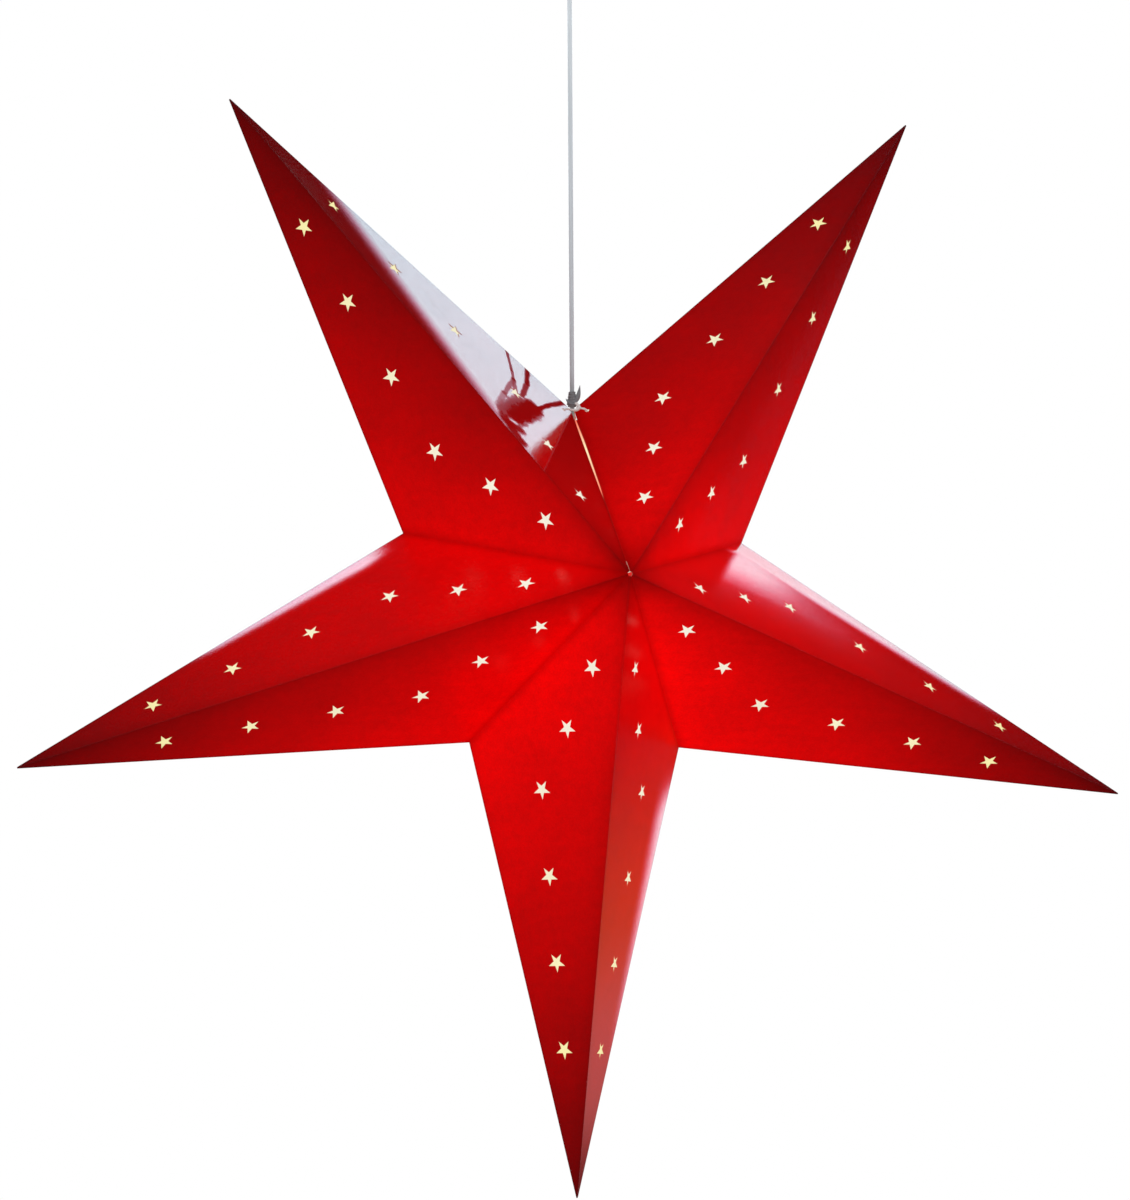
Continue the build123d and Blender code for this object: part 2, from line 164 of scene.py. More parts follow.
class NodeNet:
    """Adds nodes to one tree and joins them."""

    def __init__(self, tree):
        self.tree = tree

    def feed(self, socket, value):
        if isinstance(value, bpy.types.NodeSocket):
            self.tree.links.new(value, socket)
        else:
            socket.default_value = value

    def fill(self, node, inputs):
        for key, value in inputs.items():
            self.feed(node.inputs[key], value)

    def node(self, kind, inputs=None, **settings):
        made = self.tree.nodes.new("ShaderNode" + kind)
        for key, value in settings.items():
            setattr(made, key, value)
        self.fill(made, inputs or {})
        return made

    def maths(self, operation, *values, clamp=False):
        inputs = dict(enumerate(values))
        return self.node("Math", inputs, operation=operation, use_clamp=clamp).outputs[0]

    def times(self, product, *others):
        for other in others:
            product = self.maths("MULTIPLY", product, other)
        return product

    def plus(self, total, *others):
        for other in others:
            total = self.maths("ADD", total, other)
        return total

    def minus(self, first, second):
        return self.maths("SUBTRACT", first, second)

    def vector(self, operation, *values):
        made = self.node("VectorMath", dict(enumerate(values)), operation=operation)
        scalar = operation in ("DOT_PRODUCT", "LENGTH", "DISTANCE")
        return made.outputs["Value" if scalar else "Vector"]

    def scaled(self, colour, value):
        inputs = {0: colour, "Scale": value}
        return self.node("VectorMath", inputs, operation="SCALE").outputs["Vector"]

    def ramped(self, value, start, end, low, high, kind="SMOOTHSTEP"):
        inputs = {"Value": value, "From Min": start, "From Max": end, "To Min": low, "To Max": high}
        made = self.node("MapRange", inputs, interpolation_type=kind, clamp=True)
        return made.outputs[0]

    def rising(self, value, start, end):
        return self.ramped(value, start, end, 0.0, 1.0)

    def falling(self, value, start, end):
        return self.ramped(value, start, end, 1.0, 0.0)

    def linear(self, value, start, end, low, high):
        return self.ramped(value, start, end, low, high, kind="LINEAR")

    def mottled(self, noise, low, high):
        """A noise's usual range, as a level from low to high."""
        return self.linear(noise, 0.3, 0.7, low, high)

    def levels(self, value, stops):
        """Straight ramps through (position, level) stops."""
        ramp = self.node("ValToRGB", {"Fac": value})
        elements = ramp.color_ramp.elements
        while len(elements) < len(stops):
            elements.new(0.5)
        for element, (position, level) in zip(elements, stops):
            element.position = position
            element.color = (level, level, level, 1.0)
        return self.red(ramp.outputs["Color"])

    def mixed(self, factor, first, second):
        inputs = {0: factor, 6: first, 7: second}
        return self.node("Mix", inputs, data_type="RGBA").outputs[2]

    def mixed_level(self, factor, first, second):
        inputs = {0: factor, 2: first, 3: second}
        return self.node("Mix", inputs, data_type="FLOAT").outputs[0]

    def noise(self, vector, scale, detail=2.0, roughness=0.5):
        inputs = {"Vector": vector, "Scale": scale, "Detail": detail, "Roughness": roughness}
        return self.node("TexNoise", inputs).outputs["Fac"]

    def red(self, colour):
        return self.node("SeparateColor", {"Color": colour}).outputs["Red"]

    def axis(self, vector, name):
        return self.node("SeparateXYZ", {"Vector": vector}).outputs[name]

    def bumped(self, height, strength, **normal):
        inputs = {"Height": height, "Distance": 1.0, "Strength": strength, **normal}
        return self.node("Bump", inputs).outputs["Normal"]


FLOAT, VECTOR = "NodeSocketFloat", "NodeSocketVector"


def new_group(name, vectors, numbers, outputs):
    """An empty shader group with named sockets: its net, its inputs and its output node."""
    tree = bpy.data.node_groups.new(name, "ShaderNodeTree")
    for sockets, way, kind in ((vectors, "INPUT", VECTOR), (numbers, "INPUT", FLOAT)):
        for socket in sockets:
            tree.interface.new_socket(socket, in_out=way, socket_type=kind)
    for socket in outputs:
        kind = VECTOR if socket == "Normal" else FLOAT
        tree.interface.new_socket(socket, in_out="OUTPUT", socket_type=kind)
    entry, leave = tree.nodes.new("NodeGroupInput"), tree.nodes.new("NodeGroupOutput")
    return NodeNet(tree), entry.outputs, leave


PANEL_LINES = ("Ridge", "Valley", "Edge", "Apex")


def fold_distance_group():
    """Distances in mm from a panel's ridge, valley and edge, and along its ridge from the apex."""
    net, entry, leave = new_group(
        "Fold distances", ["Place", *(f"{line} Across" for line in PANEL_LINES)],
        [f"{line} Offset" for line in PANEL_LINES], (*PANEL_LINES, "Share"))
    found = {}
    for line in PANEL_LINES:
        across = net.vector("DOT_PRODUCT", entry["Place"], entry[f"{line} Across"])
        found[line] = net.maths("DIVIDE", net.minus(across, entry[f"{line} Offset"]), MM)
    outer = net.maths("MINIMUM", found["Edge"], found["Valley"])
    width = net.maths("MAXIMUM", net.plus(found["Ridge"], outer), 0.1)
    share = net.maths("DIVIDE", found["Ridge"], width, clamp=True)
    net.fill(leave, {**found, "Share": share})
    return net.tree


def crease_group():
    """A fold's painted shade: a fine dark line, and a soft dark band round it."""
    net, entry, leave = new_group(
        "Crease shade", (), ("Distance", "Line", "Line Depth", "Band", "Band Depth"), ("Shade",))
    shades = []
    for mark in ("Line", "Band"):
        darkest = net.minus(1.0, entry[f"{mark} Depth"])
        shades.append(net.ramped(entry["Distance"], 0.0, entry[mark], darkest, 1.0))
    net.fill(leave, {"Shade": net.times(*shades)})
    return net.tree


BENDS = ("Lean", "Rise", "Turn Near", "Turn Far", "Flare", "Span", "From", "Until")
# Along the ridge, in mm: where "Turn Near" and "Turn Far" hold, and over what length a rise fades
TURN_RUN = (60.0, 315.0)
FADE_IN, FADE_OUT = 30.0, 42.0
# Two flares at the valley's corner: where each gains tilt from the ridge outwards, how much, and
# where it fades along the ridge
FLARES = (((8.0, 40.0), 0.11, (130.0, 195.0)), ((36.0, 62.0), 0.17, (96.0, 145.0)))
# The flares' edge towards the hub: its slant against the ridge, and where it comes in
FLARE_SLANT, FLARE_EDGE = 0.63, (41.0, 49.0)
FLATTENED_TILT = -0.2


def curl_group():
    """How a panel bends out of its plane: a lean, and a rise past a line that runs along it."""
    net, entry, leave = new_group(
        "Panel curl", ("Normal", "Across"),
        ("Ridge", "Along", *BENDS, "Kept"), ("Normal",))
    ridge, along = entry["Ridge"], entry["Along"]
    turn = net.linear(along, *TURN_RUN, entry["Turn Near"], entry["Turn Far"])
    past = net.maths("DIVIDE", net.minus(ridge, turn), entry["Span"], clamp=True)
    starts = net.rising(along, net.minus(entry["From"], FADE_IN), entry["From"])
    ends = net.falling(along, net.minus(entry["Until"], FADE_OUT), entry["Until"])
    rise = net.times(past, entry["Rise"], starts, ends)
    flares = net.plus(*(
        net.times(net.linear(ridge, *gaining, 0.0, tilt), net.falling(along, *fading))
        for gaining, tilt, fading in FLARES))
    slanted = net.minus(along, net.times(ridge, FLARE_SLANT))
    flares = net.times(flares, net.ramped(slanted, *FLARE_EDGE, 0.0, entry["Flare"]))
    bent = net.plus(entry["Lean"], net.maths("MAXIMUM", rise, flares))
    tilt = net.mixed_level(entry["Kept"], FLATTENED_TILT, bent)
    across = net.node("VectorTransform", {"Vector": entry["Across"]},
                      vector_type="VECTOR", convert_from="OBJECT", convert_to="WORLD")
    push = net.scaled(across.outputs["Vector"], tilt)
    normal = net.vector("NORMALIZE", net.vector("ADD", entry["Normal"], push))
    net.fill(leave, {"Normal": normal})
    return net.tree


# The paper's texture: scales of its noises, pitch of its weave, and heights in metres
FIBRE_SCALE, BLOTCH_SCALE, CLOUD_SCALE, SPECK_SCALE = 1050.0, 240.0, 26.0, 46.0
STREAK_SCALES = (14.0, 60.0, 260.0)
SPECKLESS_SHARE, SPECK_RIM = 0.9, (0.012, 0.022)
WEAVE_WAYS, WEAVE_PITCH = ((1.0, 0.6, 1.0), (1.0, 0.6, -1.0)), 5200.0
WEAVE_HEIGHT, FIBRE_HEIGHT = 0.000005, 0.00006


def grain_group():
    """Fibres, cloudy mottling, a fine embossed weave and a few bright specks in coated paper."""
    net, entry, leave = new_group(
        "Paper grain", ("Place",), ("Fibre", "Cloud"), ("Tone", "Speck", "Height"))
    place = entry["Place"]
    fibre = net.noise(place, FIBRE_SCALE, detail=3.0, roughness=0.65)
    blotch = net.noise(place, BLOTCH_SCALE)
    cloud = net.noise(place, CLOUD_SCALE, detail=3.0, roughness=0.55)
    streak = net.noise(net.vector("MULTIPLY", place, STREAK_SCALES), 1.0)
    fine = net.times(net.linear(fibre, 0.25, 0.75, -1.0, 1.0), entry["Fibre"])
    softer = net.times(net.mottled(blotch, -0.5, 0.5), entry["Fibre"])
    clouds = net.plus(net.mottled(cloud, -1.0, 1.0), net.mottled(streak, -0.4, 0.4))
    tone = net.plus(fine, softer, net.times(clouds, entry["Cloud"]), 1.0)
    cells = net.node("TexVoronoi", {"Vector": place, "Scale": SPECK_SCALE}).outputs
    rare = net.maths("GREATER_THAN", net.red(cells["Color"]), SPECKLESS_SHARE)
    speck = net.times(rare, net.falling(cells["Distance"], *SPECK_RIM))
    weave = net.times(*(
        net.maths("SINE", net.times(net.vector("DOT_PRODUCT", place, way), WEAVE_PITCH))
        for way in WEAVE_WAYS))
    height = net.plus(net.times(weave, WEAVE_HEIGHT), net.times(fibre, FIBRE_HEIGHT))
    net.fill(leave, {"Tone": tone, "Speck": speck, "Height": height})
    return net.tree


# The lamp's light on the paper: by distance as a share of its reach, and by direction, from
# straight down (0) to straight up (1)
LAMP_REACH = 0.3
LAMP_FALL = ((0.20, 0.54), (0.30, 0.475), (0.39, 0.40), (0.49, 0.345), (0.59, 0.275), (0.69, 0.205),
             (0.79, 0.135), (0.89, 0.082), (1.0, 0.02))
LAMP_SPREAD = ((0.0, 0.96), (0.25, 0.97), (0.5, 0.74), (0.75, 0.70), (1.0, 0.44))
LAMP_GAIN = 1.39


def glow_group():
    """How strongly the lamp lights a place: by its distance, and less above the lampholder."""
    net, entry, leave = new_group(
        "Lamp reach", ("Place", "Lamp"), ("Holder Shade",), ("Glow", "Distance"))
    offset = net.vector("SUBTRACT", entry["Place"], entry["Lamp"])
    share = net.maths("DIVIDE", net.vector("LENGTH", offset), LAMP_REACH)
    upward = net.vector("DOT_PRODUCT", net.vector("NORMALIZE", offset), (0.0, 0.0, 1.0))
    spread = net.levels(net.linear(upward, -1.0, 1.0, 0.0, 1.0), LAMP_SPREAD)
    spread = net.mixed_level(entry["Holder Shade"], 1.0, net.times(spread, LAMP_GAIN))
    glow = net.times(net.levels(share, LAMP_FALL), spread)
    net.fill(leave, {"Glow": glow, "Distance": share})
    return net.tree


FINER, WEAR_HEIGHT = 9.0, 0.00004


def wear_group():
    """Fine handling marks and dust on moulded or drawn parts: a tone and a roughness shift."""
    net, entry, leave = new_group(
        "Surface wear", ("Place",), ("Scale",), ("Tone", "Gloss Shift", "Height"))
    coarse = net.noise(entry["Place"], entry["Scale"], detail=3.0)
    fine = net.noise(entry["Place"], net.times(entry["Scale"], FINER))
    net.fill(leave, {
        "Tone": net.linear(coarse, 0.3, 0.75, 0.9, 1.04),
        "Gloss Shift": net.mottled(fine, -0.05, 0.08),
        "Height": net.times(fine, WEAR_HEIGHT)})
    return net.tree


GROUP_MAKERS = {"folds": fold_distance_group, "crease": crease_group, "grain": grain_group,
                "glow": glow_group, "wear": wear_group, "curl": curl_group}
GROUPS = {}


class Finish(NodeNet):
    """The nodes of a new material with one principled shader."""

    def __init__(self, name):
        self.material = bpy.data.materials.new(name)
        self.material.use_nodes = True
        super().__init__(self.material.node_tree)
        self.tree.nodes.clear()
        self.shader = self.node("BsdfPrincipled")
        self.output = self.node("OutputMaterial", {"Surface": self.shader.outputs["BSDF"]})
        self.place = self.node("TexCoord").outputs["Object"]

    def group(self, name, inputs):
        """Adds the shared group of that name, built the first time it is asked for."""
        if name not in GROUPS:
            GROUPS[name] = GROUP_MAKERS[name]()
        return self.node("Group", inputs, node_tree=GROUPS[name]).outputs

    def placed(self, name, inputs):
        """Adds a shared group that needs the place on the object."""
        return self.group(name, {"Place": self.place, **inputs})

    def done(self, inputs):
        """Feeds the shader and gives the material."""
        self.fill(self.shader, inputs)
        return self.material


def rgba(colour):
    return (*colour[:3], 1.0)


def picked(name):
    """A colour from the sidebar."""
    return tuple(getattr(bpy.context.scene.star_colours, name))


def moulded(name, colour, roughness, scale, metallic=0.0, coat=0.0):
    """A moulded or drawn finish with faint marks, for the fittings."""
    net = Finish(name)
    wear = net.placed("wear", {"Scale": scale})
    return net.done({
        "Base Color": net.scaled(colour, wear["Tone"]),
        "Roughness": net.plus(wear["Gloss Shift"], roughness),
        "Metallic": metallic,
        "Coat Weight": coat,
        "Normal": net.bumped(wear["Height"], 0.5)})


# The star's own geometry, repeated from its named sizes


def on_circle(radius, angle):
    turn = math.radians(angle)
    return Vector((radius * math.cos(turn), 0.0, radius * math.sin(turn)))


def star_centre():
    return Vector((0.0, 0.0, -bpy.context.scene.star_sizes.star_drop))


def panel_corners(aim, hand, face):
    """The apex, tip and valley corner of one panel."""
    sizes = bpy.context.scene.star_sizes
    centre = star_centre()
    front = -1 if face == "front" else 1
    apex = centre + Vector((0.0, front * sizes.half_depth, 0.0))
    tip = centre + on_circle(sizes.tip_radius, aim)
    valley = centre + on_circle(sizes.valley_radius, aim + hand * HALF_STEP)
    return apex, tip, valley


def panel_lines(apex, tip, valley):
    """The inward direction and offset of a panel's ridge, valley and outer edge."""
    lines = {}
    for name, start, end, inner in (("Ridge", apex, tip, valley), ("Valley", apex, valley, tip),
                                    ("Edge", valley, tip, apex)):
        along = (end - start).normalized()
        across = inner - start
        across = (across - across.dot(along) * along).normalized()
        lines[f"{name} Across"] = across
        lines[f"{name} Offset"] = across.dot(start)
    lines["Apex Across"] = (tip - apex).normalized()
    lines["Apex Offset"] = lines["Apex Across"].dot(apex)
    return lines


# How a panel looks. A shorter row goes on like the plain one. The columns:
# Light, Gain: how brightly the lamp shows through, and how much more at the outer side
# IOR: of the coating
# Lean, Rise: how far it bends all over, and how much more past a line, in radians
# Turn Near, Turn Far: where that line runs by the hub and at the tip, in mm from the ridge
# Flare: how much the valley's corner stands up
# Span: how wide the rise is; From, Until: where along the panel it comes and goes, in mm
LOOKS = ("Light", "Gain", "IOR", *BENDS)
PLAIN_PANEL = (1.0, 0.15, 1.5, -0.02, 0.05, 20.0, 4.0, 0.0, 20.0, 60.0, 360.0)
PANELS = {
    "upper_left_point_left_front": (0.95, 0.24),
    "upper_left_point_right_front": (0.6, 0.0, 1.9, -0.13, 0.26, -17.1, 27.7, 0.0, 19.0, 5.0),
    "upper_right_point_left_front": (1.13, -0.1, 1.5, 0.14, 0.0),
    "upper_right_point_right_front": (1.1, 0.22, 1.5, -0.13),
    "right_point_upper_front": (1.06, 0.05, 2.0, -0.14, 0.36, 77.5, 0.5, 1.0, 11.0, 96.0, 264.0),
    "right_point_lower_front": (0.97, 0.24),
    "bottom_point_right_front": (0.78, 0.04, 1.9, -0.09, 0.2, 78.5, 0.4, 0.0, 17.0, 135.0, 262.0),
    "bottom_point_left_front": (1.0, 0.1),
    "left_point_lower_front": (0.85, 0.2),
    "left_point_upper_front": (1.06, 0.06, 1.9, 0.0, 0.26, 86.8, 0.2, 0.0, 8.0, 126.0, 242.0),
}
# A painted reflection over this panel, a warm veil for the dim room in its gloss, in a nearer and
# a paler farther hue. In mm along the ridge: where the hue turns, where the veil gathers, and where
# it thins again, to a share
PAINTED_REFLECTION = {"bottom_point_right_front": ((0.20, 0.038, 0.012, 1.0), (0.23, 0.064, 0.058, 1.0))}
REFLECTION_TURN, REFLECTION_GATHERS, REFLECTION_THINS, REFLECTION_LEFT = (170.0, 250.0), (66.0, 225.0), (262.0, 310.0), 0.2
SPECK_LIGHT = (0.55, 0.20, 0.16)
# Between the ridge (0) and the outer folds (1), where a panel's inner and outer light hold
INNER_TO_OUTER = (0.05, 0.95)

# The painted shade along each fold: width of its dark line in crease widths, and of its band in mm
CREASES = {
    "Ridge": {"Line": 1.0, "Line Depth": 0.16, "Band": 9.0, "Band Depth": 0.10},
    "Valley": {"Line": 2.0, "Line Depth": 0.14, "Band": 6.0, "Band Depth": 0.13},
    "Edge": {"Line": 0.8125, "Line Depth": 0.40, "Band": 5.0, "Band Depth": 0.06},
}
# Round the apex the paper is darker: how far out, and its tone at the apex
HUB_REACH, HUB_TONE = 0.034, 0.62
# The grain's strength in paper and in liners, and the spread of its tone
PAPER_GRAIN, LINER_GRAIN = {"Fibre": 0.10, "Cloud": 0.07}, {"Fibre": 0.05, "Cloud": 0.04}
TONE_RANGE = (0.8, 1.2)
# The paper's roughness by its tone, and what worn folds, of a width in mm, and dents add to it
PAPER_ROUGHNESS, WORN_ROUGHNESS, WORN_WIDTH, DENT_ROUGHNESS = (0.17, 0.11), 0.06, 1.2, 0.8

DENTED_PANEL = "upper_left_point_right_front"
# A crumpled crease from the tied corner to the ridge: its ends in mm, and its soft width in metres.
# Past it this panel lies flatter
CRUMPLE = ((-0.6, -2.1, -281.5), (-33.8, -69.3, -316.8))
CRUMPLE_FADE = (-0.0005, 0.0013)
# Creased strokes beside the tied seam: ends and half width in mm, and depth
STROKES = (
    ((-4.3, 0.2, -276.1), (-16.3, -14.2, -279.5), 1.5, 0.90),
    ((-16.3, -14.2, -279.5), (-27.3, -28.7, -283.8), 1.4, 0.95),
    ((-44.7, -51.4, -290.6), (-28.3, -28.6, -283.0), 6.0, 1.00),
    ((-51.7, -55.4, -288.3), (-36.1, -33.6, -281.0), 5.0, 0.62),
    ((-50.2, -61.9, -295.8), (-44.5, -59.0, -297.9), 3.6, 0.85),
    ((-53.0, -60.6, -292.5), (-47.4, -67.8, -304.0), 4.5, 0.85),
    ((-33.7, -0.3, -251.5), (-35.0, -13.2, -262.6), 1.1, 0.62),
    ((-35.0, -13.2, -262.6), (-35.9, -19.6, -267.9), 1.2, 0.50),
    ((-35.9, -19.6, -267.9), (-46.6, -39.5, -277.6), 1.5, 0.42),
    ((-46.6, -39.5, -277.6), (-53.2, -52.0, -283.9), 2.0, 0.30),
    ((-35.9, -19.6, -267.9), (-38.7, -32.4, -277.7), 1.6, 0.45),
    ((-23.2, -0.3, -260.5), (-27.0, -12.5, -268.8), 1.7, 0.90),
    ((-27.0, -12.5, -268.8), (-33.8, -27.2, -277.0), 1.6, 0.75),
)
# A stroke's soft rim, in half widths, and how ragged it is
STROKE_RIM, RAGGED, RAGGED_SCALE = (0.5, 1.35), 0.3, 190.0


def dents(net, outward):
    """Where the tie string has crumpled the paper beside the seam: 0 there, 1 elsewhere."""
    place = net.place
    torn = net.noise(place, RAGGED_SCALE, detail=4.0, roughness=0.7)
    ragged = net.mottled(torn, -RAGGED, RAGGED)
    start, end = (Vector(corner) * MM for corner in CRUMPLE)
    across = (end - start).cross(outward).normalized()
    across *= 1 if across.x < 0 else -1
    beyond = net.minus(net.vector("DOT_PRODUCT", place, across), across.dot(start))
    kept = net.rising(beyond, *CRUMPLE_FADE)
    for start, end, width, depth in STROKES:
        start, end = Vector(start) * MM, Vector(end) * MM
        along = end - start
        offset = net.vector("SUBTRACT", place, start)
        share = net.vector("DOT_PRODUCT", offset, along / along.length_squared)
        share = net.maths("MULTIPLY", share, 1.0, clamp=True)
        gap = net.vector("DISTANCE", offset, net.scaled(along, share))
        gap = net.plus(net.maths("DIVIDE", gap, width * MM), ragged)
        kept = net.times(kept, net.ramped(gap, *STROKE_RIM, 1.0 - depth, 1.0))
    return kept


def paper_tone(net, folds, grain, apex):
    """The grain, with painted shade along the folds, and darker round the hub."""
    shade_line = bpy.context.scene.star_sizes.crease_width / MM
    shades = []
    for fold, shade in CREASES.items():
        inputs = {**shade, "Distance": folds[fold], "Line": shade_line * shade["Line"]}
        shades.append(net.group("crease", inputs)["Shade"])
    hub = net.ramped(net.vector("DISTANCE", net.place, apex), 0.0, HUB_REACH, HUB_TONE, 1.0)
    return net.times(grain["Tone"], *shades, hub)


def paper_light(net, name, looks, folds, grain, tone):
    """The lamp through the paper, with bright specks, and this panel's painted reflection if it has
    one.
    """
    lamp = net.placed("glow", {"Lamp": star_centre(), "Holder Shade": 1.0})
    inner, outer = (looks["Light"] * (1 + gain) for gain in (-looks["Gain"], looks["Gain"]))
    across = net.linear(folds["Share"], *INNER_TO_OUTER, inner, outer)
    glow = net.scaled(picked("glow"), net.times(lamp["Glow"], tone, across))
    # Painted reflection: a warm veil added to the glow, for the dim room that the gloss would
    # mirror
    if name in PAINTED_REFLECTION:
        hue = net.mixed(net.rising(folds["Apex"], *REFLECTION_TURN), *PAINTED_REFLECTION[name])
        painted_reflection = net.times(net.rising(folds["Apex"], *REFLECTION_GATHERS),
                         net.ramped(folds["Apex"], *REFLECTION_THINS, 1.0, REFLECTION_LEFT))
        glow = net.vector("ADD", glow, net.scaled(hue, painted_reflection))
    return net.vector("ADD", glow, net.scaled(SPECK_LIGHT, grain["Speck"]))


def paper_material(name, aim, hand, face):
    """Coated red paper with lamp light behind it, creased along this panel's own folds."""
    net = Finish(f"{name}_paper")
    apex, tip, valley = panel_corners(aim, hand, face)
    lines = panel_lines(apex, tip, valley)
    folds = net.placed("folds", lines)
    grain = net.placed("grain", PAPER_GRAIN)
    tone = paper_tone(net, folds, grain, apex)
    rim = net.maths("MINIMUM", folds["Ridge"], folds["Edge"])
    rough = net.plus(net.linear(grain["Tone"], *TONE_RANGE, *PAPER_ROUGHNESS),
                     net.ramped(rim, 0.0, WORN_WIDTH, WORN_ROUGHNESS, 0.0))
    own = PANELS.get(name, ())
    looks = dict(zip(LOOKS, own + PLAIN_PANEL[len(own):]))
    kept = 1.0
    if name == DENTED_PANEL:
        kept = dents(net, lines["Ridge Across"].cross(lines["Apex Across"]))
        halfway = net.times(kept, net.minus(1.0, kept))
        rough = net.plus(rough, net.times(halfway, DENT_ROUGHNESS))
    curl = net.group("curl", {
        "Normal": net.node("NewGeometry").outputs["Normal"],
        "Across": lines["Ridge Across"], "Ridge": folds["Ridge"], "Along": folds["Apex"],
        "Kept": kept, **{bend: looks[bend] for bend in BENDS}})
    return net.done({
        "Base Color": net.scaled(picked("paper"), tone),
        "Emission Color": paper_light(net, name, looks, folds, grain, tone),
        "Emission Strength": 1.0,
        "IOR": looks["IOR"],
        "Roughness": rough,
        "Normal": net.bumped(grain["Height"], 1.0, Normal=curl["Normal"])})


# The liners: their unlit colour, how strongly the lampholder shades them, and the distances from
# the lamp, as shares of its reach, between which they turn warmer
LINER_BODY, LINER_SHADE, LINER_WARMS = (0.16, 0.14, 0.10), 0.3, (0.25, 0.9)


def liner_material():
    """Translucent cream paper, paler near the lamp and warmer towards the tips."""
    net = Finish("glowing_liner")
    grain = net.placed("grain", LINER_GRAIN)
    lamp = net.placed("glow", {"Lamp": star_centre(), "Holder Shade": LINER_SHADE})
    warmth = net.linear(lamp["Distance"], *LINER_WARMS, 0.0, 1.0)
    shade = net.mixed(warmth, rgba(picked("liner_near")), rgba(picked("liner_far")))
    return net.done({
        "Base Color": net.scaled(LINER_BODY, grain["Tone"]),
        "Emission Color": net.scaled(shade, grain["Tone"]),
        "Emission Strength": 1.0,
        "Roughness": net.linear(grain["Tone"], *TONE_RANGE, 0.9, 0.75),
        "Specular IOR Level": 0.0,
        "Normal": net.bumped(grain["Height"], 0.6)})


def dress(material, *nodes):
    """Puts a material on model nodes, which keep their own meshes."""
    for node in nodes:
        target = frame["nodes"][node]
        if target.material_slots:
            for slot in target.material_slots:
                slot.material = material
        else:
            target.data.materials.append(material)


def placed_mesh(name, mesh, material):
    """An object made from a finished bmesh."""
    data = bpy.data.meshes.new(name)
    mesh.to_mesh(data)
    mesh.free()
    data.materials.append(material)
    made = bpy.data.objects.new(name, data)
    bpy.context.scene.collection.objects.link(made)
    return made


def panel_names():
    for point, aim, left_hand, right_hand in POINTS:
        for side, hand in ((left_hand, 1), (right_hand, -1)):
            for face in ("front", "back"):
                yield f"{point}_point_{side}_{face}", aim, hand, face


# From the star towards the two softboxes. The white backdrop lies round the first
BACK_LIGHT = Vector((0.28, 0.95, 0.11)).normalized()
TOP_LIGHT = Vector((-0.02, 0.64, 0.77)).normalized()
# What gloss mirrors, by the cosine of the angle from the backdrop's middle: the dark room turns
# dusky, and then white
DUSK_COMES, BACKDROP_COMES = (0.66, 0.80), (0.86, 0.99)
DARK, DUSK, WHITE = (0.003, 0.003, 0.003, 1.0), (0.13, 0.065, 0.03, 1.0), (1.0, 1.0, 1.0, 1.0)
# Across a softbox, as shares of its width from the middle: where it fades out, where it has turned
# rosy, and where that begins in the back and the top one
SOFTBOX_FADES, ROSY_UNTIL, BACK_ROSY_FROM, TOP_ROSY_FROM = (0.33, 0.5), 0.45, 0.29, 0.28
CLIP_NEAR, CLIP_FAR = 0.1, 200.0
FLOOR_HALF_WIDTH = 40.0


